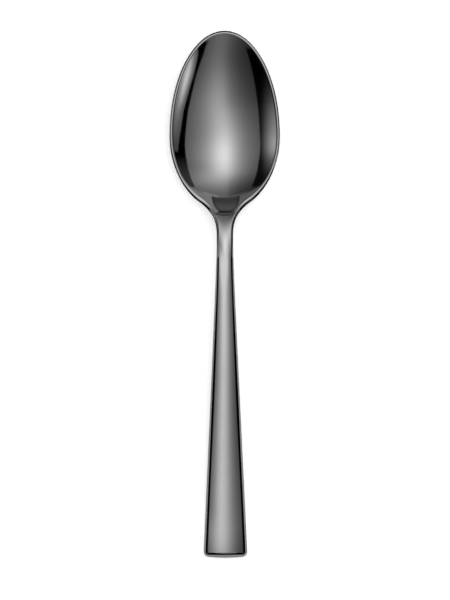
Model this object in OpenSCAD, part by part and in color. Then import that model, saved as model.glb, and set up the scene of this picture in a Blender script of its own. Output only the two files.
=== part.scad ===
// Tablespoon forged in one piece: an egg-shaped bowl, a slim neck and a domed handle that widens
// to its end. It lies as on a table, tip toward +Y, resting on its belly and the handle's end.

/* [Whole spoon] */
// Length from the tip of the bowl to the end of the handle
spoon_len = 206; // [170:1:250]

/* [Bowl outline] */
// Width of the bowl at its widest place
bowl_w = 43.1; // [34:0.1:52]
// Distance from the tip to the widest place
wide_at = 40.5; // [32:0.5:48]
// Distance from the widest place to where the oval would close, toward the handle
back_reach = 29.6; // [24:0.1:36]
// Length over which the long front of the oval turns into its short back
belly_turn = 25; // [15:1:40]

/* [Bowl hollow] */
// Depth of the hollow, from the rim line at the sides to the floor
bowl_depth = 9.6; // [7:0.1:13]
// How much lower the rim line is at the tip than at the sides
tip_drop = 0.8; // [0:0.1:2]
// Angle between the rim line and the table, the tip higher than the throat, in degrees
rim_tilt = 3.8; // [3:0.1:4.5]
// Upright thickness of the bowl's wall
bowl_wall = 1.8; // [1.2:0.1:2.6]
// Width of the rounded rim inside its outline, seen from above
rim_round = 1; // [0.7:0.05:1.6]
// Width of the rounding under the rim
rim_under = 0.35; // [0.2:0.05:0.6]
// Height of the rim's widest line above the outside of the wall
rim_side = 0.3; // [0.1:0.05:0.6]

/* [Neck] */
// Distance from the end of the oval to the narrowest place
throat_len = 11.4; // [8:0.1:18]
// Width at the narrowest place
neck_w = 6.4; // [5:0.1:9]
// Distance from the narrowest place to the neck's crest, its highest place
crest_len = 8.5; // [6:0.5:12]
// Height of the crest's underside above the table
crest_rise = 10.3; // [9:0.05:12]
// Angle at which the underside falls toward the handle at the crest, in degrees
crest_fall = 1.7; // [1:0.1:3]
// How far the neck drops from the crest to the end of the oval
throat_drop = 5.4; // [4.5:0.1:6]
// Height of the neck's side under its rounded upper edge
neck_side = 1.4; // [1:0.1:2]
// Width of the rounded upper edge at the neck
neck_round = 0.9; // [0.6:0.05:1.2]
// Width of the rounded upper edge where the bowl narrows to the neck
throat_round = 2.2; // [1.2:0.1:2.4]
// Length of rim over which the rounded edge widens to that
widen_len = 11; // [6:0.5:20]
// Height over which the floor of the bowl meets the top of the neck
throat_blend = 0.05; // [0.02:0.01:0.5]
// Height over which the back of the bowl blends into the underside of the neck
heel_blend = 2.2; // [1.5:0.1:2.2]
// Length over which the round back of the bowl flattens out under the throat
heel_len = 11; // [8:0.5:16]
// Length over which the handle's edges start to spread past the neck
spread_blend = 8; // [4:0.5:14]

/* [Handle] */
// Width at the end
end_w = 17.3; // [12:0.1:24]
// Length of the straight run before the end
straight_len = 58; // [40:1:75]
// Angle between the straight run and the table, in degrees
handle_angle = 6.5; // [5:0.1:8]
// Height of the side at the end, under its rounded upper edge
end_side = 0.25; // [0.15:0.05:0.6]
// Height of the rounded upper edge along the handle
edge_drop = 1.6; // [1:0.1:2]
// Length past the neck over which the upper edge reaches its full width
edge_blend = 20; // [10:1:40]
// Width of the rounded upper edge along the handle
end_round = 1.4; // [0.7:0.05:1.5]
// Width of the rounded upper edge across the end
end_roll = 2.2; // [1.5:0.05:2.2]
// Width of the rounded lower edge
under_round = 0.9; // [0.5:0.05:1.2]
// Length that each rounded end corner takes from the side and from the end
corner_len = 2.1; // [1.8:0.1:3.5]
// How far the end bows out in its middle
end_bow = 0.6; // [0:0.1:1.5]
// How much lower the underside is in its middle than at its edges
under_crown = 0.3; // [0.1:0.05:0.5]

/* [Flat under the handle] */
// Length of the flat ground under the end of the handle
flat_len = 46; // [30:1:50]
// Depth of the grinding
flat_depth = 0.2; // [0.1:0.05:0.3]
// Radius of the grinding wheel, which the flat runs out along
wheel_r = 60; // [30:5:100]

/* [Hidden] */

// Height of the domed top at the neck and at the end, as a share of half the width there
neck_dome = 0.37;
end_dome = 0.31;
// Power of the distance from the crest with which the neck drops to the bowl
neck_power = 2.1;
// Where the throat's hollow outline starts, as a share of the back of the oval
shoulder_share = 0.878;
// Half the stretch where oval and throat outlines mix, as a share of the back of the oval
shoulder_mix_share = 0.07;
// Where the flat meets the rounding of the end, as a share of that rounding
flat_end_share = 0.25;

shoulder_at = wide_at + back_reach * shoulder_share;
shoulder_mix = back_reach * shoulder_mix_share;
throat_at = wide_at + back_reach;
neck_at = throat_at + throat_len;
crest_at = neck_at + crest_len;
straight_at = spoon_len - straight_len;
rest_at = spoon_len - under_round * flat_end_share;
flat_at = spoon_len - flat_len;
overrun = bowl_w;

// Rows of points along the front and back of the bowl and along the handle
front_rows = 20;
back_rows = 24;
handle_rows = 36;
// Half of the points round an end corner
corner_rows = 2;
// Steps along the belly in which its lowest place is looked for
belly_steps = 200;
// Strips across the spoon, an even number
strips = 16;
// Steps round the upper and the lower half of an edge
upper_steps = 4;
lower_steps = 2;

function mix(a, b, t) = a + (b - a) * t;
function ease(t) = let (c = min(max(t, 0), 1)) c * c * (3 - 2 * c);
function soft_min(a, b, blend) = min(a, b) - pow(max(blend - abs(a - b), 0) / blend, 3) * blend / 6;
function bend(a, b, c, t) = (1 - t) * (1 - t) * a + 2 * t * (1 - t) * b + t * t * c;
function unit(v) = v / norm(v);

// Along the spoon, s is the distance from the tip
function back_part(s) = ease((s - wide_at) / belly_turn + 1 / 2);
function oval_share(s) = (s - wide_at) / mix(wide_at, back_reach, back_part(s));
function throat_part(s) = ease((s - shoulder_at) / (neck_at - shoulder_at));
function dome_part(s) = ease((s - throat_at) / (crest_at - throat_at));
function heel_part(s) = ease((s - throat_at) / heel_len + 1);
function handle_part(s) = min(max((s - neck_at) / (spoon_len - neck_at), 0), 1);

// Half the width: an oval, then a hollow throat curve, then the spreading handle
function oval(s) = bowl_w / 2 * sqrt(max(1 - pow(oval_share(s), 2), 0));
function throat(s) =
    neck_w / 2 + (oval(shoulder_at) - neck_w / 2) * pow((neck_at - s) / (neck_at - shoulder_at), 3);
function spread(s) = norm([s, spread_blend]) - spread_blend;
function handle_half(s) =
    neck_w / 2 + (end_w - neck_w) / 2 * spread(max(s - neck_at, 0)) / spread(spoon_len - neck_at);
function half_width(s) =
    s >= neck_at ? handle_half(s)
    : mix(oval(s), throat(s), ease((s - shoulder_at) / (2 * shoulder_mix) + 1 / 2));

// Middle line of the bowl's floor: the hollow, tilted, with its belly on the table
function dish(s) =
    (bowl_depth - tip_drop * (1 - back_part(s))) * pow(oval_share(s), 2) - (s - wide_at) * tan(rim_tilt);
lift = -min([for (i = [0:belly_steps]) dish(mix(wide_at, throat_at, i / belly_steps))]);
function floor_line(s) = bowl_wall + lift + dish(s);

// Middle line under the handle: up to the crest, over it in an arch, and straight to the table
function straight_line(s) = (rest_at - s) * tan(handle_angle);
function arch(t, fall, run) =
    crest_rise * (2 * t * t * t - 3 * t * t + 1) - tan(crest_fall) * run * (t * t * t - 2 * t * t + t)
    + fall * (3 * t * t - 2 * t * t * t) - tan(handle_angle) * run * (t * t * t - t * t);
function under_handle(s) =
    s <= crest_at
        ? crest_rise + (crest_at - s) * tan(crest_fall)
            - throat_drop * pow((crest_at - s) / (crest_at - throat_at), neck_power)
    : s >= straight_at ? straight_line(s)
    : arch((s - crest_at) / (straight_at - crest_at), straight_line(straight_at), straight_at - crest_at);

// Under the throat that line goes on straight, into the back of the bowl
neck_slope =
    throat_drop * neck_power / (crest_at - throat_at)
        * pow(crest_len / (crest_at - throat_at), neck_power - 1) - tan(crest_fall);
function under_neck(s) = under_handle(max(s, neck_at)) - max(neck_at - s, 0) * neck_slope;

function side_height(s) = mix(neck_side, end_side, handle_part(s));
function dome(s) = mix(neck_dome, end_dome, handle_part(s));
function over_handle(s) =
    under_handle(max(s, throat_at)) + side_height(s) + edge_drop + dome(s) * handle_half(s);

// Middle lines of the whole spoon, top and underside
function top_line(s) = s <= wide_at ? floor_line(s) : soft_min(floor_line(s), over_handle(s), throat_blend);
function under_line(s) =
    s <= wide_at ? floor_line(s) - bowl_wall
    : soft_min(floor_line(s) - bowl_wall, under_neck(s), heel_blend)
        - flat_depth * ease((s - straight_at) / (flat_at - straight_at));

// Height of the top and of the underside at x, s
function hollow_curve() = bowl_depth / pow(bowl_w / 2, 2);
function top_curve(s) = mix(hollow_curve(), -dome(s) / handle_half(s), dome_part(s));
function under_curve(s) =
    mix(hollow_curve(), under_crown / pow(max(half_width(s), neck_w / 2), 2), heel_part(s));
function top_z(p) = top_line(p[1]) + top_curve(p[1]) * p[0] * p[0];
function under_z(p) = under_line(p[1]) + under_curve(p[1]) * p[0] * p[0];

// Edge: how far it reaches in over the top and under the bottom, and where it is widest
function side_reach(s) =
    mix(mix(rim_round, throat_round, ease((s - shoulder_at) / widen_len + 1)),
        mix(neck_round, end_round, ease((s - neck_at) / edge_blend)), throat_part(s));
function upper_reach(s, n) =
    s > corner_start[1] ? mix(side_reach(s), end_roll, pow(n[1], 2)) : side_reach(s);
function lower_reach(s) = mix(rim_under, under_round, throat_part(s));
function edge_side(s) = mix(rim_side, side_height(s), throat_part(s));

// Outline of the right side from the tip to the last corner, as [x, s]
function front_s(i) = wide_at * (1 - cos(90 * i / front_rows));
function end_s(x) = spoon_len - end_bow * pow(x / (end_w / 2), 2);
corner_start = [handle_half(spoon_len - end_bow - corner_len), spoon_len - end_bow - corner_len];
corner_tip = [handle_half(spoon_len - end_bow), end_s(end_w / 2)];
corner_stop = [end_w / 2 - corner_len, end_s(end_w / 2 - corner_len)];
function corner(t) = bend(corner_start, corner_tip, corner_stop, t);
side = [
    for (i = [0:front_rows]) [half_width(front_s(i)), front_s(i)],
    for (i = [1:back_rows])
        let (s = mix(wide_at, neck_at, i / back_rows)) [half_width(s), s],
    for (i = [1:handle_rows - 1])
        let (s = mix(neck_at, corner_start[1], i / handle_rows)) [half_width(s), s],
    for (i = [0:corner_rows - 1]) corner(i / (2 * corner_rows))
];
rows = len(side);

// The end from the right corner to the left one
half_strips = strips / 2;
flat_strips = half_strips - corner_rows;
function end_half(j) =
    j <= corner_rows ? corner((corner_rows + j) / (2 * corner_rows))
    : let (x = corner_stop[0] * (half_strips - j) / flat_strips) [x, end_s(x)];
function flip(p) = [-p[0], p[1]];
end_row = [for (j = [0:strips]) j <= half_strips ? end_half(j) : flip(end_half(strips - j))];

// The whole outline, clockwise from the tip as seen from above, and its outward normals
outline = concat(side, end_row, [for (i = [rows - 1:-1:1]) flip(side[i])]);
around = len(outline);
function normal(i) =
    let (d = unit(outline[(i + 1) % around] - outline[(i + around - 1) % around])) [d[1], -d[0]];
normals = [for (i = [0:around - 1]) normal(i)];

// The edge as rings, from the top's border over the widest line to the underside's border
function brow(p, n, reach) = top_z(p - n * reach) + (top_z(p) - top_z(p - 2 * n * reach)) / 2;
function sill(p, n, reach) = under_z(p - n * reach) + (under_z(p) - under_z(p - 2 * n * reach)) / 2;
function ring_point(i, t) =
    let (p = outline[i], n = normals[i], up = upper_reach(p[1], n), down = lower_reach(p[1]),
        low = sill(p, n, down), wide = low + edge_side(p[1]))
    t <= 1
        ? let (q = p - n * up * (1 - t) * (1 - t))
            [q[0], q[1], bend(top_z(p - n * up), brow(p, n, up), wide, t)]
        : let (q = p - n * down * (t - 1) * (t - 1))
            [q[0], q[1], bend(wide, low, under_z(p - n * down), t - 1)];
ring_places = concat(
    [for (k = [0:upper_steps]) k / upper_steps],
    [for (k = [1:lower_steps]) 1 + k / lower_steps]
);
rings = len(ring_places);
edge_points = [for (t = ring_places) for (i = [0:around - 1]) ring_point(i, t)];

// Points inside the borders, row by row from right to left
function inner_rows(ring) = [
    for (i = [1:rows - 1]) for (j = [1:strips - 1])
        let (p = edge_points[ring * around + i]) [p[0] * (1 - 2 * j / strips), p[1]]
];
top_points = [for (p = inner_rows(0)) [p[0], p[1], top_z(p)]];
under_points = [for (p = inner_rows(rings - 1)) [p[0], p[1], under_z(p)]];

// Number of the point in row i and column j of the top or of the underside
function grid_id(i, j, ring, first) =
    i == 0 ? ring * around
    : i == rows ? ring * around + rows + j
    : j == 0 ? ring * around + i
    : j == strips ? ring * around + 2 * rows + strips - i
    : first + (i - 1) * (strips - 1) + j - 1;

// Two triangles for four points, cut along either diagonal
function pair(a, b, c, d, first) = first ? [[a, b, c], [a, c, d]] : [[a, b, d], [b, c, d]];
function sheet(ring, first) = [
    for (j = [0:strips - 1]) [ring * around, grid_id(1, j, ring, first), grid_id(1, j + 1, ring, first)],
    for (i = [1:rows - 1]) for (j = [0:strips - 1])
        each pair(grid_id(i, j, ring, first), grid_id(i + 1, j, ring, first),
            grid_id(i + 1, j + 1, ring, first), grid_id(i, j + 1, ring, first), j < half_strips)
];
function turned(faces) = [for (f = faces) [f[0], f[2], f[1]]];
edge_faces = [
    for (k = [0:rings - 2]) for (i = [0:around - 1])
        let (a = k * around, b = a + around, next = (i + 1) % around)
            each pair(a + i, b + i, b + next, a + next, i < around / 2)
];
first_top = rings * around;
first_under = first_top + len(top_points);

module forging() {
    points = [for (p = concat(edge_points, top_points, under_points)) [p[0], spoon_len / 2 - p[1], p[2]]];
    faces = concat(edge_faces, sheet(0, first_top), turned(sheet(rings - 1, first_under)));
    polyhedron(points, faces, convexity = 4);
}

// Wheel and table of the grinder, with the flat's plane on top
module grinder() {
    translate([0, spoon_len / 2 - rest_at, 0]) rotate([handle_angle, 0, 0]) {
        run = (rest_at - flat_at) / cos(handle_angle);
        translate([-overrun / 2, -overrun, -wheel_r]) cube([overrun, overrun + run, wheel_r]);
        translate([-overrun / 2, run, -wheel_r]) rotate([0, 90, 0])
            cylinder(h = overrun, r = wheel_r, $fn = 360);
    }
}

module spoon() {
    color("dimgray") difference() {
        forging();
        grinder();
    }
}

spoon();
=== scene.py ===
from math import cos, hypot, radians, sqrt, tan

import bpy
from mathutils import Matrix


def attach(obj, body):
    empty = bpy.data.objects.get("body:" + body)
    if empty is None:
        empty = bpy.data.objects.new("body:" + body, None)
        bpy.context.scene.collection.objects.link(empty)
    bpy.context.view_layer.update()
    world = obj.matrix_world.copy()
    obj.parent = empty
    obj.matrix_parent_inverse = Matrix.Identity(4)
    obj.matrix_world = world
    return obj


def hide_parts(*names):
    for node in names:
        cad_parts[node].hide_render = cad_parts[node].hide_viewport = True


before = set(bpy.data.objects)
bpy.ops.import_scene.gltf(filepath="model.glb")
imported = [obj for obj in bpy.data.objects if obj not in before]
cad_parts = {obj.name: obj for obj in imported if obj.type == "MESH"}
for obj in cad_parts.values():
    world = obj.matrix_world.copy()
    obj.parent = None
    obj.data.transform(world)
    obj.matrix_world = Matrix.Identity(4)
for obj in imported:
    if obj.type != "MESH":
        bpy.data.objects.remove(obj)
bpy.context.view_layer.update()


# The spoon. One stainless blank, forged, trimmed and polished all over, then coated black in a vacuum.
# The film is a few thousandths of a millimetre thick, so the mirror polish of the steel shows in it.
# The underside is ground flat for 46 mm under the end of the handle, where the spoon rests.
MM = 0.001

# Outline of the bowl, seen from above. Sizes are in mm, and s is the distance from the tip.
SPOON_LEN = 206.0
BOWL_W = 43.1
WIDE_AT = 40.5
BACK_REACH = 29.6
BELLY_TURN = 25.0

# Hollow, wall and rounded rim of the bowl
BOWL_DEPTH = 9.6
TIP_DROP = 0.8
RIM_TILT = 3.8
BOWL_WALL = 1.8
RIM_ROUND = 0.95
RIM_STEEP = 1.0
RIM_POWER = 1.5
RIM_UNDER = 0.35
RIM_SIDE = 0.3

# Throat, neck and crest
THROAT_LEN = 11.4
THROAT_ROUND = 1.6
WIDEN_LEN = 11.0
THROAT_BLEND = 0.05
THROAT_DROP = 5.4
NECK_W = 6.4
CREST_LEN = 8.5
CREST_RISE = 10.29
CREST_FALL = 1.7
NECK_POWER = 2.1
NECK_SIDE = 1.4
NECK_ROUND = 0.9
HEEL_BLEND = 2.2
HEEL_LEN = 11.0
SPREAD_BLEND = 8.0

# Handle and its end
END_W = 17.3
STRAIGHT_LEN = 58.0
HANDLE_ANGLE = 6.5
END_SIDE = 0.25
EDGE_DROP = 1.6
EDGE_BLEND = 20.0
END_ROUND = 1.4
END_ROLL = 2.2
UNDER_ROUND = 0.9
CORNER_LEN = 2.1
END_BOW = 0.6
UNDER_CROWN = 0.3

# Grinding wheel and the flat that it leaves
FLAT_LEN = 46.0
FLAT_DEPTH = 0.2
WHEEL_R = 60.0

# Shares of other sizes
NECK_DOME = 0.37
END_DOME = 0.31
SHOULDER_SHARE = 0.878
SHOULDER_MIX_SHARE = 0.07
FLAT_END_SHARE = 0.25

# What follows from them
SHOULDER_AT = WIDE_AT + BACK_REACH * SHOULDER_SHARE
SHOULDER_MIX = BACK_REACH * SHOULDER_MIX_SHARE
NECK_AT = WIDE_AT + BACK_REACH + THROAT_LEN
STRAIGHT_AT = SPOON_LEN - STRAIGHT_LEN
REST_AT = SPOON_LEN - UNDER_ROUND * FLAT_END_SHARE
FLAT_AT = SPOON_LEN - FLAT_LEN
SLOPE = tan(radians(HANDLE_ANGLE))
TILT = tan(radians(RIM_TILT))
FALL = tan(radians(CREST_FALL))
THROAT_AT = WIDE_AT + BACK_REACH
CREST_AT = NECK_AT + CREST_LEN

# How finely the sheet is divided, and how near to each other points are welded
FRONT_ROWS = 80
BACK_ROWS = 96
HANDLE_ROWS = 144
CORNER_ROWS = 6
STRIPS = 56
UPPER_STEPS = 11
LOWER_STEPS = 4
ROWS = FRONT_ROWS + BACK_ROWS + HANDLE_ROWS + CORNER_ROWS
LEVELS = UPPER_STEPS + LOWER_STEPS
WELD = 0.001


def mix(a, b, t):
    return a + (b - a) * t


def ease(t):
    t = min(max(t, 0), 1)
    return t * t * (3 - 2 * t)


def soft_min(a, b, blend):
    """The lower of two heights, with a soft passage from one to the other."""
    return min(a, b) - (max(blend - abs(a - b), 0) / blend) ** 3 * blend / 6


def bend(a, b, c, t):
    """Place on the curve from a to c that b pulls toward itself."""
    return (1 - t) ** 2 * a + 2 * t * (1 - t) * b + t * t * c


def back_part(s):
    """0 in the front of the bowl and 1 in its back."""
    return ease((s - WIDE_AT) / BELLY_TURN + 0.5)


def oval_share(s):
    return (s - WIDE_AT) / mix(WIDE_AT, BACK_REACH, back_part(s))


def throat_part(s):
    """0 in the bowl and 1 from the neck on."""
    return ease((s - SHOULDER_AT) / (NECK_AT - SHOULDER_AT))


def heel_part(s):
    """How far the underside has gone from round to nearly flat."""
    return ease((s - THROAT_AT) / HEEL_LEN + 1)


def dome_part(s):
    """How far the top has gone from hollow to domed."""
    return ease((s - THROAT_AT) / (CREST_AT - THROAT_AT))


def handle_part(s):
    """0 at the neck and 1 at the end."""
    return min(max((s - NECK_AT) / (SPOON_LEN - NECK_AT), 0), 1)


def oval(s):
    """Half width of the egg that the bowl follows."""
    return BOWL_W / 2 * sqrt(max(1 - oval_share(s) ** 2, 0))


def throat(s):
    """Half width of the curve from the shoulder of the bowl to the neck."""
    part = (NECK_AT - s) / (NECK_AT - SHOULDER_AT)
    return NECK_W / 2 + (oval(SHOULDER_AT) - NECK_W / 2) * part ** 3


def spread(s):
    """Soft start of the handle's widening."""
    return hypot(s, SPREAD_BLEND) - SPREAD_BLEND


def half_width(s):
    if s >= NECK_AT:
        part = spread(s - NECK_AT) / spread(SPOON_LEN - NECK_AT)
        return NECK_W / 2 + (END_W - NECK_W) / 2 * part
    return mix(oval(s), throat(s), ease((s - SHOULDER_AT) / (2 * SHOULDER_MIX) + 0.5))


def dish(s):
    """Height of the bowl's middle line before the bowl is set on the table."""
    return (BOWL_DEPTH - TIP_DROP * (1 - back_part(s))) * oval_share(s) ** 2 - TILT * (s - WIDE_AT)


# The bowl is lifted until its lowest point, looked for at closely spaced places, is on the table
PLACES = 200
PLACES_PER_MM = 20
LIFT = -min(dish(WIDE_AT + i / PLACES_PER_MM) for i in range(PLACES))


def floor_line(s):
    """Height of the hollow along its middle."""
    return BOWL_WALL + LIFT + dish(s)


def straight_line(s):
    """Height of the straight underside toward the end, on which the spoon rests."""
    return (REST_AT - s) * SLOPE


def under_handle(s):
    """Height of the handle's underside, from the throat over the crest to the end."""
    if s >= STRAIGHT_AT:
        return straight_line(s)
    if s <= CREST_AT:
        back = CREST_AT - s
        return CREST_RISE + FALL * back - THROAT_DROP * (back / (CREST_AT - THROAT_AT)) ** NECK_POWER
    run = STRAIGHT_AT - CREST_AT
    t = (s - CREST_AT) / run
    start = CREST_RISE * (2 * t ** 3 - 3 * t ** 2 + 1) - FALL * run * (t ** 3 - 2 * t ** 2 + t)
    stop = straight_line(STRAIGHT_AT) * (3 * t ** 2 - 2 * t ** 3) - SLOPE * run * (t ** 3 - t ** 2)
    return start + stop


def under_neck(s):
    """The underside of the handle, carried straight on under the bowl from the neck."""
    if s >= NECK_AT:
        return under_handle(s)
    back = NECK_AT - s
    reach = CREST_AT - THROAT_AT
    rise = THROAT_DROP * NECK_POWER / reach * (CREST_LEN / reach) ** (NECK_POWER - 1) - FALL
    return under_handle(NECK_AT) - rise * back


def side_height(s):
    return mix(NECK_SIDE, END_SIDE, handle_part(s))


def dome(s):
    return mix(NECK_DOME, END_DOME, handle_part(s))


def top_line(s):
    """Height of the top along the middle of the spoon."""
    if s <= WIDE_AT:
        return floor_line(s)
    rise = EDGE_DROP + dome(s) * half_width(max(s, NECK_AT))
    over_handle = under_handle(max(s, THROAT_AT)) + side_height(s) + rise
    return soft_min(floor_line(s), over_handle, THROAT_BLEND)


def under_line(s):
    """Height of the underside along the middle of the spoon, before the grinding."""
    if s <= WIDE_AT:
        return floor_line(s) - BOWL_WALL
    line = soft_min(floor_line(s) - BOWL_WALL, under_neck(s), HEEL_BLEND)
    return line - FLAT_DEPTH * ease((s - STRAIGHT_AT) / (FLAT_AT - STRAIGHT_AT))


def top_z(x, s):
    hollow = BOWL_DEPTH / (BOWL_W / 2) ** 2
    return top_line(s) + mix(hollow, -dome(s) / half_width(max(s, NECK_AT)), dome_part(s)) * x * x


def under_z(x, s):
    hollow = BOWL_DEPTH / (BOWL_W / 2) ** 2
    crown = UNDER_CROWN / max(half_width(s), NECK_W / 2) ** 2
    return under_line(s) + mix(hollow, crown, heel_part(s)) * x * x


def ground_z(s):
    """Height under which the grinding wheel leaves nothing."""
    past = max(FLAT_AT - s, 0) / cos(radians(HANDLE_ANGLE))
    if past >= WHEEL_R:
        return -WHEEL_R
    return straight_line(s) - (WHEEL_R - sqrt(WHEEL_R ** 2 - past ** 2)) / cos(radians(HANDLE_ANGLE))


def end_s(x):
    """The bowed line of the end."""
    return SPOON_LEN - END_BOW * (x / (END_W / 2)) ** 2


corner_stop_x = END_W / 2 - CORNER_LEN
corner_start_s = SPOON_LEN - END_BOW - CORNER_LEN


def corner(t):
    """Point of the rounded corner, from the side at 0 to the end at 1."""
    x = bend(half_width(corner_start_s), half_width(SPOON_LEN - END_BOW), corner_stop_x, t)
    s = bend(corner_start_s, end_s(END_W / 2), end_s(corner_stop_x), t)
    return x, s


# The outline from the tip down the right side, across the end, and back up the left side, as (x, s)
side_s = [WIDE_AT * (1 - cos(radians(90) * i / FRONT_ROWS)) for i in range(FRONT_ROWS + 1)]
side_s += [mix(WIDE_AT, NECK_AT, i / BACK_ROWS) for i in range(1, BACK_ROWS + 1)]
side_s += [mix(NECK_AT, corner_start_s, i / HANDLE_ROWS) for i in range(1, HANDLE_ROWS)]
side = [(half_width(s), s) for s in side_s]
side += [corner(i / (2 * CORNER_ROWS)) for i in range(CORNER_ROWS)]
end = [corner((CORNER_ROWS + j) / (2 * CORNER_ROWS)) for j in range(CORNER_ROWS + 1)]
flat_strips = STRIPS - 2 * CORNER_ROWS
end_x = [corner_stop_x * (1 - 2 * j / flat_strips) for j in range(1, flat_strips)]
end += [(x, end_s(x)) for x in end_x]
end += [(-x, s) for x, s in reversed(end[:CORNER_ROWS + 1])]
outline = side + end + [(-x, s) for x, s in reversed(side[1:])]

outward = []
for i in range(len(outline)):
    before = outline[i - 1]
    after = outline[(i + 1) % len(outline)]
    dx = after[0] - before[0]
    ds = after[1] - before[1]
    outward.append((ds / hypot(dx, ds), -dx / hypot(dx, ds)))


def place_on_outline(row, column):
    """Number of the outline's point at the border of the grid."""
    if row == 0:
        return 0
    if row == ROWS:
        return ROWS + column
    return row if column == 0 else len(outline) - row


def edge_point(row, column, level):
    """Point of the rounded edge, from the underside's border at level 0 to the top's border."""
    place = place_on_outline(row, column)
    x, s = outline[place]
    nx, ns = outward[place]
    up = mix(RIM_ROUND, THROAT_ROUND, ease((s - SHOULDER_AT) / WIDEN_LEN + 1))
    up = mix(up, mix(NECK_ROUND, END_ROUND, ease((s - NECK_AT) / EDGE_BLEND)), throat_part(s))
    if s > corner_start_s:
        up = mix(up, END_ROLL, ns ** 2)
    down = mix(RIM_UNDER, UNDER_ROUND, throat_part(s))
    under = under_z(x - nx * down, s - ns * down)
    low = under + (under_z(x, s) - under_z(x - 2 * nx * down, s - 2 * ns * down)) / 2
    wide = low + mix(RIM_SIDE, side_height(s), throat_part(s))
    if level < LOWER_STEPS:
        t = level / LOWER_STEPS
        inset = down * (1 - t) ** 2
        return x - nx * inset, s - ns * inset, bend(under, low, wide, t)
    if level == LOWER_STEPS:
        return x, s, wide
    t = (level - LOWER_STEPS - 1) / (UPPER_STEPS - 1)
    top = top_z(x - nx * up, s - ns * up)
    brow = top + (top_z(x, s) - top_z(x - 2 * nx * up, s - 2 * ns * up)) / 2
    inset = up * t ** 2
    drop = (RIM_STEEP * up + brow - top) / RIM_POWER
    bevel = mix(brow, top, t ** 2) - drop * (1 - t ** 2) ** RIM_POWER
    z = mix(max(bevel, wide), bend(wide, brow, top, t), ease((s - NECK_AT) / EDGE_BLEND))
    return x - nx * inset, s - ns * inset, z


def spoon_point(row, column, level):
    """Point of the forging at a row, a strip's edge and a level of the sheet that it is made from."""
    if row in (0, ROWS) or column in (0, STRIPS):
        x, s, z = edge_point(row, column, level)
    else:
        x, s, z = edge_point(row, 0, level)
        x *= 1 - 2 * column / STRIPS
        z = under_z(x, s) if level == 0 else top_z(x, s)
    if level <= LOWER_STEPS:
        z = max(z, ground_z(s))
    return x * MM, (SPOON_LEN / 2 - s) * MM, z * MM


bpy.ops.object.select_all(action="DESELECT")
bpy.ops.mesh.primitive_grid_add(x_subdivisions=STRIPS, y_subdivisions=ROWS, size=1)
spoon = bpy.context.object
spoon.name = "spoon_forging"
bpy.ops.object.mode_set(mode="EDIT")
bpy.ops.mesh.select_all(action="SELECT")
for level in range(LEVELS):
    bpy.ops.mesh.extrude_region_move(TRANSFORM_OT_translate={"value": (0, 0, 1)})
bpy.ops.object.mode_set(mode="OBJECT")
for v in spoon.data.vertices:
    row = round((0.5 - v.co.y) * ROWS)
    column = round((0.5 - v.co.x) * STRIPS)
    v.co = spoon_point(row, column, round(v.co.z))
bpy.ops.object.mode_set(mode="EDIT")
bpy.ops.mesh.select_all(action="SELECT")
bpy.ops.mesh.remove_doubles(threshold=WELD * MM)
bpy.ops.mesh.normals_make_consistent(inside=False)
bpy.ops.object.mode_set(mode="OBJECT")
bpy.ops.object.shade_smooth()


def add_node(tree, kind, inputs=(), **settings):
    """A node with its settings, its inputs given as values or as outputs of other nodes."""
    node = tree.nodes.new(kind)
    for name, value in settings.items():
        setattr(node, name, value)
    for place, value in dict(inputs).items():
        if isinstance(value, bpy.types.NodeSocket):
            tree.links.new(value, node.inputs[place])
        else:
            node.inputs[place].default_value = value
    return node


def work_out(tree, operation, *values):
    """Output of a Math node."""
    return add_node(tree, "ShaderNodeMath", enumerate(values), operation=operation).outputs[0]


def step_up(tree, value, start, stop, low=0.0, high=1.0):
    """Output that eases from low to high as the value goes from start to stop."""
    inputs = {"Value": value, "From Min": start, "From Max": stop, "To Min": low, "To Max": high}
    node = add_node(tree, "ShaderNodeMapRange", inputs, interpolation_type="SMOOTHSTEP")
    return node.outputs["Result"]


# The black film: two nearly equal tones in soft clouds, a little smear in the polish, and the fine lines
# of the buffing wheel along the spoon
TONE_LOW = (0.212, 0.212, 0.215, 1)
TONE_HIGH = (0.228, 0.228, 0.231, 1)
TONE_SCALE = 90.0
TONE_DETAIL = 3.0
SMEAR_SCALE = 260.0
SMEAR_DETAIL = 2.0
SMEAR_ROUGHNESS = (0.3, 0.7, 0.042, 0.06)
BUFF_SCALE = (1500.0, 110.0, 1500.0)
BUFF_DETAIL = 2.0
BUFF_STRENGTH = 0.1
BUFF_DEPTH = 0.00001
GRAZING_TINT = (0.35, 0.35, 0.35, 1)

# Places of the mixing node's inputs, and of its output
MIX_SHARE = 0
MIX_FIRST = 6
MIX_SECOND = 7
MIX_COLOUR = 2

steel = bpy.data.materials.new("black_mirror_steel")
steel.use_nodes = True
tree = steel.node_tree
shader = tree.nodes["Principled BSDF"]
shader.inputs["Metallic"].default_value = 1.0
place = add_node(tree, "ShaderNodeTexCoord").outputs["Object"]
clouds = {"Vector": place, "Scale": TONE_SCALE, "Detail": TONE_DETAIL}
cloud = add_node(tree, "ShaderNodeTexNoise", clouds).outputs["Fac"]
tones = {MIX_SHARE: cloud, MIX_FIRST: TONE_LOW, MIX_SECOND: TONE_HIGH}
film = add_node(tree, "ShaderNodeMix", tones, data_type="RGBA").outputs[MIX_COLOUR]
tree.links.new(film, shader.inputs["Base Color"])
smears = {"Vector": place, "Scale": SMEAR_SCALE, "Detail": SMEAR_DETAIL}
smear = add_node(tree, "ShaderNodeTexNoise", smears).outputs["Fac"]
tree.links.new(step_up(tree, smear, *SMEAR_ROUGHNESS), shader.inputs["Roughness"])
along = add_node(tree, "ShaderNodeMapping", {"Vector": place, "Scale": BUFF_SCALE}).outputs[0]
buffing = {"Vector": along, "Scale": 1.0, "Detail": BUFF_DETAIL}
lines = add_node(tree, "ShaderNodeTexNoise", buffing).outputs["Fac"]
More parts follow.
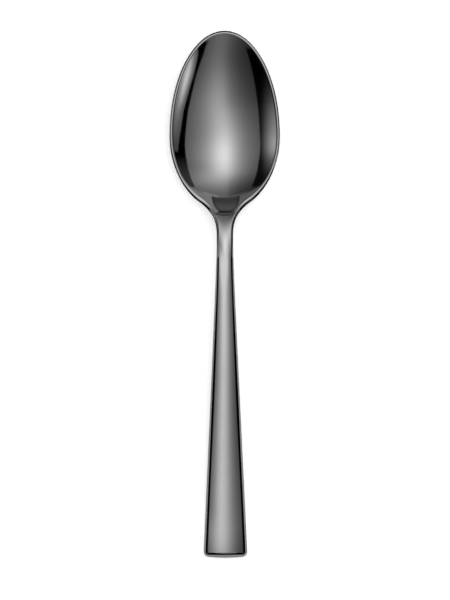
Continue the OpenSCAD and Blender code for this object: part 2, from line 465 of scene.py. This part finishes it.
buffing = {"Strength": BUFF_STRENGTH, "Distance": BUFF_DEPTH, "Height": lines}
buffed = add_node(tree, "ShaderNodeBump", buffing).outputs[0]
tree.links.new(buffed, shader.inputs["Normal"])
shader.inputs["Specular Tint"].default_value = GRAZING_TINT
spoon.data.materials.append(steel)
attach(spoon, "root")
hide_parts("spoon")


# The table top: a plain white sheet, matt, that the spoon lies on. It keeps the soft shadow of the spoon.
# Its small glow, for the camera and for reflections alone, makes the white of the background.
TABLE_R = 7.0
TABLE_SIDES = 96
TABLE_DROP = 0.00002
TABLE_WHITE = 0.95
TABLE_GLOW = 0.38

bpy.ops.mesh.primitive_circle_add(vertices=TABLE_SIDES, radius=TABLE_R, fill_type="NGON",
                                  location=(0, 0, -TABLE_DROP))
table = bpy.context.object
table.name = "table_top"
paper = bpy.data.materials.new("white_paper")
paper.use_nodes = True
tree = paper.node_tree
shader = tree.nodes["Principled BSDF"]
shader.inputs["Base Color"].default_value = (TABLE_WHITE, TABLE_WHITE, TABLE_WHITE, 1)
shader.inputs["Roughness"].default_value = 1.0
shader.inputs["Specular IOR Level"].default_value = 0.0
shader.inputs["Emission Color"].default_value = (1, 1, 1, 1)
path = add_node(tree, "ShaderNodeLightPath")
seen = work_out(tree, "MAXIMUM", path.outputs["Is Camera Ray"], path.outputs["Is Glossy Ray"])
seen = work_out(tree, "MAXIMUM", seen, path.outputs["Is Transmission Ray"])
tree.links.new(work_out(tree, "MULTIPLY", seen, TABLE_GLOW), shader.inputs["Emission Strength"])
table.data.materials.append(paper)


# The tent of white and black cloth round the table: a soft lamp overhead in a round opening, a low strip
# of light in the east, a glow in the west, and a wall in the north with a dark stand before it. Places on
# it are given by how far a mirror on the table leans east and north to show them to the camera.
TENT_R = 6.9
TENT_SEGMENTS = 96
TENT_RINGS = 48
TENT_LEVEL = 1.5


def hump(tree, value, middle, reach):
    """Output that is 1 where the value is at the middle and falls off softly on both sides."""
    away = work_out(tree, "DIVIDE", work_out(tree, "SUBTRACT", value, middle), reach)
    square = work_out(tree, "MULTIPLY", away, away)
    return work_out(tree, "EXPONENT", work_out(tree, "MULTIPLY", square, -1.0))


def product(tree, first, *others):
    """Output of the values multiplied together."""
    for other in others:
        first = work_out(tree, "MULTIPLY", first, other)
    return first


def part_way(tree, first, second, share):
    """Output that goes from first to second as the share goes from 0 to 1."""
    return work_out(tree, "MULTIPLY_ADD", work_out(tree, "SUBTRACT", second, first), share, first)


def distance(tree, a, b):
    """Output of how far a point at a and b is from the middle."""
    square = work_out(tree, "MULTIPLY_ADD", a, a, work_out(tree, "MULTIPLY", b, b))
    return work_out(tree, "SQRT", square)


bpy.ops.object.select_all(action="DESELECT")
bpy.ops.mesh.primitive_uv_sphere_add(segments=TENT_SEGMENTS, ring_count=TENT_RINGS, radius=TENT_R)
tent = bpy.context.object
tent.name = "light_tent"
bpy.ops.object.mode_set(mode="EDIT")
bpy.ops.mesh.select_all(action="SELECT")
bpy.ops.mesh.bisect(plane_co=(0, 0, 0), plane_no=(0, 0, 1), clear_inner=True)
bpy.ops.object.mode_set(mode="OBJECT")
bpy.ops.object.shade_smooth()
tent.visible_camera = False

glow = bpy.data.materials.new("tent_light")
glow.use_nodes = True
tree = glow.node_tree
tree.nodes.remove(tree.nodes["Principled BSDF"])
place = add_node(tree, "ShaderNodeTexCoord").outputs["Object"]
way = add_node(tree, "ShaderNodeVectorMath", {0: place}, operation="NORMALIZE").outputs[0]
xyz = add_node(tree, "ShaderNodeSeparateXYZ", {0: way})
above = work_out(tree, "ADD", xyz.outputs[2], 1.0)
east = work_out(tree, "DIVIDE", xyz.outputs[0], above)
north = work_out(tree, "DIVIDE", xyz.outputs[1], above)
from_middle = work_out(tree, "ABSOLUTE", east)

# The overhead lamp. A soft step is given as its start, its stop, and the values before and after it.
WEST_TO_EAST = (-0.1, 0.1)
LAMP_RISE = (-0.41, 0.11, 0.36, 2.1)
LAMP_FALL = (0.15, 0.47, 1.0, 0.16)
DIP_AT = -0.12
DIP_REACH = 0.085
DIP_LEVEL = -0.17
DIP_WIDTH = 0.03
LEAN_SOUTH = (-0.22, -0.04, 0.1, 0.01)
LEAN_TIP = (-0.45, -0.35, 0.05, 0.0)
LEAN_NORTH = (0.25, 0.42, 0.0, 0.07)
LAMP_WIDTH_EAST = (0.2, 0.5, 0.26, 0.68)
LAMP_WIDTH_WEST = 0.21

dip = hump(tree, north, DIP_AT, DIP_REACH)
rise = work_out(tree, "MULTIPLY_ADD", dip, DIP_LEVEL, step_up(tree, north, *LAMP_RISE))
lean = work_out(tree, "SUBTRACT", step_up(tree, north, *LEAN_SOUTH), step_up(tree, north, *LEAN_TIP))
lean = work_out(tree, "ADD", lean, step_up(tree, north, *LEAN_NORTH))
wide_east = step_up(tree, north, *LAMP_WIDTH_EAST)
width = part_way(tree, LAMP_WIDTH_WEST, wide_east, step_up(tree, east, *WEST_TO_EAST))
width = work_out(tree, "MULTIPLY_ADD", dip, DIP_WIDTH, width)
across = work_out(tree, "DIVIDE", work_out(tree, "SUBTRACT", east, lean), width)
fade = work_out(tree, "MULTIPLY_ADD", across, across, 1.0)
lamp = work_out(tree, "DIVIDE", product(tree, rise, step_up(tree, north, *LAMP_FALL)), fade)

# The round opening that the lamp is seen in. The black beyond it stops along a line in the south and in
# the north. A faint dusk in the north is left in it.
OPENING_EAST = 0.0385
OPENING_NORTH = 0.024
HALF_EAST = 0.608
HALF_SOUTH = (*WEST_TO_EAST, 0.54, 0.482)
HALF_NORTH = (*WEST_TO_EAST, 0.578, 0.55)
HALF_TURN = (0.0, 0.05)
PINCH_START = (-0.43, -0.36)
PINCH = (-0.28, -0.02, 0.05, 0.01)
OPENING_EDGE = (0.985, 1.01, 1.0, 0.0)
SOUTH_SLANT = 0.045
SOUTH_EDGE = (-0.42, -0.405, 1.0, 0.0)
NORTH_EDGE = (0.385, 0.405)
DUSK = (0.12, 0.32, 0.0, 0.08)
DUSK_SIDES = (-0.3, 0.3, 0.1, 1.0)

to_south = step_up(tree, east, *HALF_SOUTH)
to_north = step_up(tree, east, *HALF_NORTH)
half_north = part_way(tree, to_south, to_north, step_up(tree, north, *HALF_TURN))
pinch = product(tree, step_up(tree, north, *PINCH_START), step_up(tree, north, *PINCH))
pinch = product(tree, pinch, step_up(tree, east, *WEST_TO_EAST))
off_east = work_out(tree, "SUBTRACT", work_out(tree, "ADD", east, pinch), OPENING_EAST)
off_east = work_out(tree, "DIVIDE", off_east, HALF_EAST)
off_north = work_out(tree, "DIVIDE", work_out(tree, "SUBTRACT", north, OPENING_NORTH), half_north)
out = distance(tree, off_east, off_north)
slanted = work_out(tree, "MULTIPLY_ADD", east, SOUTH_SLANT, north)
ends = work_out(tree, "MAXIMUM", step_up(tree, slanted, *SOUTH_EDGE), step_up(tree, north, *NORTH_EDGE))
opening = work_out(tree, "MAXIMUM", step_up(tree, out, *OPENING_EDGE), ends)
dusk = product(tree, step_up(tree, north, *DUSK), step_up(tree, east, *DUSK_SIDES))
lamp = work_out(tree, "MAXIMUM", product(tree, lamp, opening), dusk)

# The north wall with the dark stand before it, and the thin bright brim along the wall's foot
WALL_CURVE = 0.3
WALL_AT = 0.478
WALL_EDGE = (0.0, 0.01)
STAND_EAST = -0.015
STAND_NORTH = 0.47
STAND_HALF_EAST = 0.222
STAND_HALF_NORTH = 0.148
STAND_LEVEL = (0.5, 0.57, 0.11, 0.2)
STAND_SIDE = (0.82, 0.92, 1.0, 0.65)
STAND_TOP = (0.588, 0.596, 1.0, 0.25)
STAND_EDGE = (0.98, 1.03)
WALL_LEVEL = (*WEST_TO_EAST, 0.29, 0.5)
WALL_TOP = (0.62, 0.7, 1.0, 0.0)
BRIM_AT = -0.004
BRIM_REACH = 0.007
BRIM_START = (0.05, 0.15)
BRIM_LEVEL = (*WEST_TO_EAST, 0.15, 0.35)
BRIM_STOP = (0.3, 0.42, 1.0, 0.0)

curve = work_out(tree, "MULTIPLY", east, east)
arc = work_out(tree, "MULTIPLY_ADD", curve, WALL_CURVE, work_out(tree, "SUBTRACT", north, WALL_AT))
off_east = work_out(tree, "DIVIDE", work_out(tree, "SUBTRACT", east, STAND_EAST), STAND_HALF_EAST)
off_north = work_out(tree, "DIVIDE", work_out(tree, "SUBTRACT", north, STAND_NORTH), STAND_HALF_NORTH)
stand_out = distance(tree, off_east, off_north)
stand = product(tree, step_up(tree, north, *STAND_LEVEL), step_up(tree, stand_out, *STAND_SIDE))
stand = product(tree, stand, step_up(tree, north, *STAND_TOP))
wall = product(tree, step_up(tree, east, *WALL_LEVEL), step_up(tree, north, *WALL_TOP))
wall = part_way(tree, stand, wall, step_up(tree, stand_out, *STAND_EDGE))
lamp = part_way(tree, lamp, wall, step_up(tree, arc, *WALL_EDGE))
brim = product(tree, hump(tree, arc, BRIM_AT, BRIM_REACH), step_up(tree, from_middle, *BRIM_START))
brim = product(tree, brim, step_up(tree, east, *BRIM_LEVEL), step_up(tree, from_middle, *BRIM_STOP))

# The east strip, with a brighter ridge in its southern half
STRIP_SLANT = 0.35
STRIP_AT = 1.1425
STRIP_TIP = (-0.45, -0.28, 0.11, 0.0)
STRIP_EDGE = (0.008, 0.022)
STRIP_EAST = (0.1, 0.3)
STRIP_FAR_SLANT = 0.2
STRIP_FAR = (0.82, 0.84, 1.0, 0.0)
STRIP_SOUTH = (-0.41, -0.385)
STRIP_NORTH = (0.08, 0.115, 1.0, 0.0)
STRIP_LEVEL = (-0.1, 0.06, 0.24, 0.16)
RIDGE_NORTH = -0.275
RIDGE_LENGTH = 0.12
RIDGE_OUT = 0.15
RIDGE_REACH = 0.075
RIDGE_LEVEL = 1.35

edge = work_out(tree, "MULTIPLY_ADD", north, STRIP_SLANT, STRIP_AT)
edge = work_out(tree, "ADD", edge, step_up(tree, north, *STRIP_TIP))
past_edge = work_out(tree, "SUBTRACT", out, edge)
far = work_out(tree, "MULTIPLY_ADD", north, STRIP_FAR_SLANT, east)
strip = product(tree, step_up(tree, past_edge, *STRIP_EDGE), step_up(tree, east, *STRIP_EAST))
strip = product(tree, strip, step_up(tree, far, *STRIP_FAR), step_up(tree, north, *STRIP_SOUTH))
strip = product(tree, strip, step_up(tree, north, *STRIP_NORTH))
ridge = hump(tree, north, RIDGE_NORTH, RIDGE_LENGTH)
ridge = product(tree, ridge, hump(tree, past_edge, RIDGE_OUT, RIDGE_REACH))
ridge = work_out(tree, "MULTIPLY_ADD", ridge, RIDGE_LEVEL, step_up(tree, north, *STRIP_LEVEL))
strip_east = product(tree, ridge, strip)

# The west glow
GLOW_NORTH = 0.03
GLOW_LENGTH = 0.168
GLOW_LEVEL = (-0.82, -0.56, 0.97, 0.04)
GLOW_FAR = (-0.85, -0.825)
GLOW_NEAR = (-0.5, -0.3, 1.0, 0.0)

glow_west = product(tree, hump(tree, north, GLOW_NORTH, GLOW_LENGTH), step_up(tree, east, *GLOW_LEVEL))
glow_west = product(tree, glow_west, step_up(tree, east, *GLOW_FAR), step_up(tree, east, *GLOW_NEAR))

level = work_out(tree, "ADD", lamp, brim)
level = work_out(tree, "ADD", level, work_out(tree, "ADD", strip_east, glow_west))
level = work_out(tree, "MULTIPLY", level, TENT_LEVEL)
light = add_node(tree, "ShaderNodeEmission", {"Strength": level})
tree.links.new(light.outputs[0], tree.nodes["Material Output"].inputs["Surface"])
tent.data.materials.append(glow)


# The hood over the handle: a soft panel, lit a little left of its middle, between two flags of black
# cloth. It is hidden from the camera and seen only in the polished steel. Its light fades to the sides,
# is even over the neck, and ends in two narrow black borders, which the handle shows as thin lines.
HOOD_X = 0.098
HOOD_HIGH = 0.06
HOOD_SOUTH = -0.3
FLAG_NORTH = 0.015
PANEL_NORTH = 0.035
PANEL_CELLS = 8
HANDLE_TOP = 0.008

# Soft steps as in the tent. Along y they are in metres, and across they go by the lean of the handle.
PANEL_MIDDLE = (-0.115, -0.02, -0.155, -0.075)
END_WEST = (-0.115, -0.098, 0.52, 0.4)
END_EAST = 0.55
END_TURN = (-0.2, -0.1)
LONG_WIDTH = (-0.15, -0.05, 0.39, 0.435)
END_TO_LONG = (-0.115, -0.05)
OVER_NECK = (-0.005, 0.012)
NECK_LIGHT_W = 0.3
NECK_EVEN_W = 0.185
PANEL_LEVEL = (-0.05, 0.01, 2.23, 2.72)
BORDER_END = (-0.1, -0.05, 0.055, 0.0)
BORDER_NECK = (-0.03, 0.01, 0.0, 0.045)
BORDER = (0.49, 0.535, 1.0, 0.0)
PANEL_END = (-0.137, -0.106)
PANEL_SHARE = (0.008, 0.034, 1.0, 0.0)
BLACK_ACROSS = (0.47, 0.51)
BLACK_NORTH = (0.025, 0.033, 1.0, 0.0)

bpy.ops.object.select_all(action="DESELECT")
bpy.ops.mesh.primitive_grid_add(x_subdivisions=PANEL_CELLS, y_subdivisions=PANEL_CELLS, size=1)
panel = bpy.context.object
panel.name = "hood_panel"
for v in panel.data.vertices:
    v.co.x *= 2 * HOOD_X
    v.co.y = (HOOD_SOUTH + PANEL_NORTH) / 2 + v.co.y * (PANEL_NORTH - HOOD_SOUTH)
    v.co.z = HOOD_HIGH
panel_light = bpy.data.materials.new("panel_light")
panel_light.use_nodes = True
tree = panel_light.node_tree
tree.nodes.remove(tree.nodes["Principled BSDF"])
place = add_node(tree, "ShaderNodeTexCoord").outputs["Object"]
xyz = add_node(tree, "ShaderNodeSeparateXYZ", {0: place})
y = xyz.outputs[1]
angle = work_out(tree, "ARCTAN2", xyz.outputs[0], HOOD_HIGH - HANDLE_TOP)
east = work_out(tree, "TANGENT", work_out(tree, "MULTIPLY", angle, 0.5))
middle = step_up(tree, y, *PANEL_MIDDLE)
width_end = step_up(tree, east, *END_TURN, step_up(tree, y, *END_WEST), END_EAST)
width = step_up(tree, y, *END_TO_LONG, width_end, step_up(tree, east, *LONG_WIDTH))
width = step_up(tree, y, *OVER_NECK, width, NECK_LIGHT_W)
even = step_up(tree, y, *OVER_NECK, 0.0, NECK_EVEN_W)
across = work_out(tree, "ABSOLUTE", work_out(tree, "SUBTRACT", east, middle))
across = work_out(tree, "MAXIMUM", work_out(tree, "SUBTRACT", across, even), 0.0)
across = work_out(tree, "DIVIDE", across, width)
fade = work_out(tree, "POWER", work_out(tree, "MULTIPLY_ADD", across, across, 1.0), 2.0)
level = work_out(tree, "DIVIDE", step_up(tree, y, *PANEL_LEVEL), fade)
beside = work_out(tree, "SUBTRACT", work_out(tree, "ABSOLUTE", east), step_up(tree, y, *BORDER_END))
beside = work_out(tree, "SUBTRACT", beside, step_up(tree, y, *BORDER_NECK))
level = product(tree, level, step_up(tree, beside, *BORDER), step_up(tree, y, *PANEL_END))
light = add_node(tree, "ShaderNodeEmission", {"Strength": level})
clear = add_node(tree, "ShaderNodeBsdfTransparent")
black = product(tree, step_up(tree, beside, *BLACK_ACROSS), step_up(tree, y, *BLACK_NORTH))
share = work_out(tree, "MAXIMUM", step_up(tree, y, *PANEL_SHARE), black)
both = add_node(tree, "ShaderNodeMixShader", {0: share, 1: clear.outputs[0], 2: light.outputs[0]})
tree.links.new(both.outputs[0], tree.nodes["Material Output"].inputs["Surface"])
panel.data.materials.append(panel_light)

CLOTH_BLACK = 0.005

cloth = bpy.data.materials.new("black_flag")
cloth.use_nodes = True
shader = cloth.node_tree.nodes["Principled BSDF"]
shader.inputs["Base Color"].default_value = (CLOTH_BLACK, CLOTH_BLACK, CLOTH_BLACK, 1)
shader.inputs["Roughness"].default_value = 1.0
shader.inputs["Specular IOR Level"].default_value = 0.0
hood = [panel]
for x in (-HOOD_X, HOOD_X):
    flag_middle = (x, (HOOD_SOUTH + FLAG_NORTH) / 2, HOOD_HIGH / 2)
    bpy.ops.mesh.primitive_plane_add(size=1, location=flag_middle, rotation=(0, radians(90), 0))
    flag = bpy.context.object
    flag.name = "flag_left" if x < 0 else "flag_right"
    flag.scale = (HOOD_HIGH, FLAG_NORTH - HOOD_SOUTH, 1)
    flag.data.materials.append(cloth)
    hood.append(flag)
for piece in hood:
    piece.visible_camera = False
    piece.visible_diffuse = False
    piece.visible_shadow = False


# The white room behind the tent, painted one even white. Only the camera sees it, past the edge of the
# table, because the tent hides it from the spoon.
world = bpy.data.worlds.new("white_room")
world.use_nodes = True
world.node_tree.nodes["Background"].inputs["Color"].default_value = (1, 1, 1, 1)
bpy.context.scene.world = world


# The camera looks straight down through a long lens, the tip of the bowl at the top of the picture. It is
# turned by a hair, as in the photograph.
CAMERA_HIGH = 2.6
CAMERA_TURN = -0.11
CAMERA_REACH = 100
FRAME_LONG = 0.2345
AIM_Y = -0.00202
AIM_Z = 0.007
SENSOR = 36.0

camera_data = bpy.data.cameras.new("camera")
camera = bpy.data.objects.new("camera", camera_data)
bpy.context.scene.collection.objects.link(camera)
camera_data.sensor_width = SENSOR
camera_data.lens = SENSOR * CAMERA_HIGH / FRAME_LONG
camera_data.clip_end = CAMERA_REACH
camera.location = (0, AIM_Y, AIM_Z + CAMERA_HIGH)
camera.rotation_euler = (0, 0, radians(CAMERA_TURN))
bpy.context.scene.camera = camera
bpy.context.scene.view_settings.view_transform = "Standard"
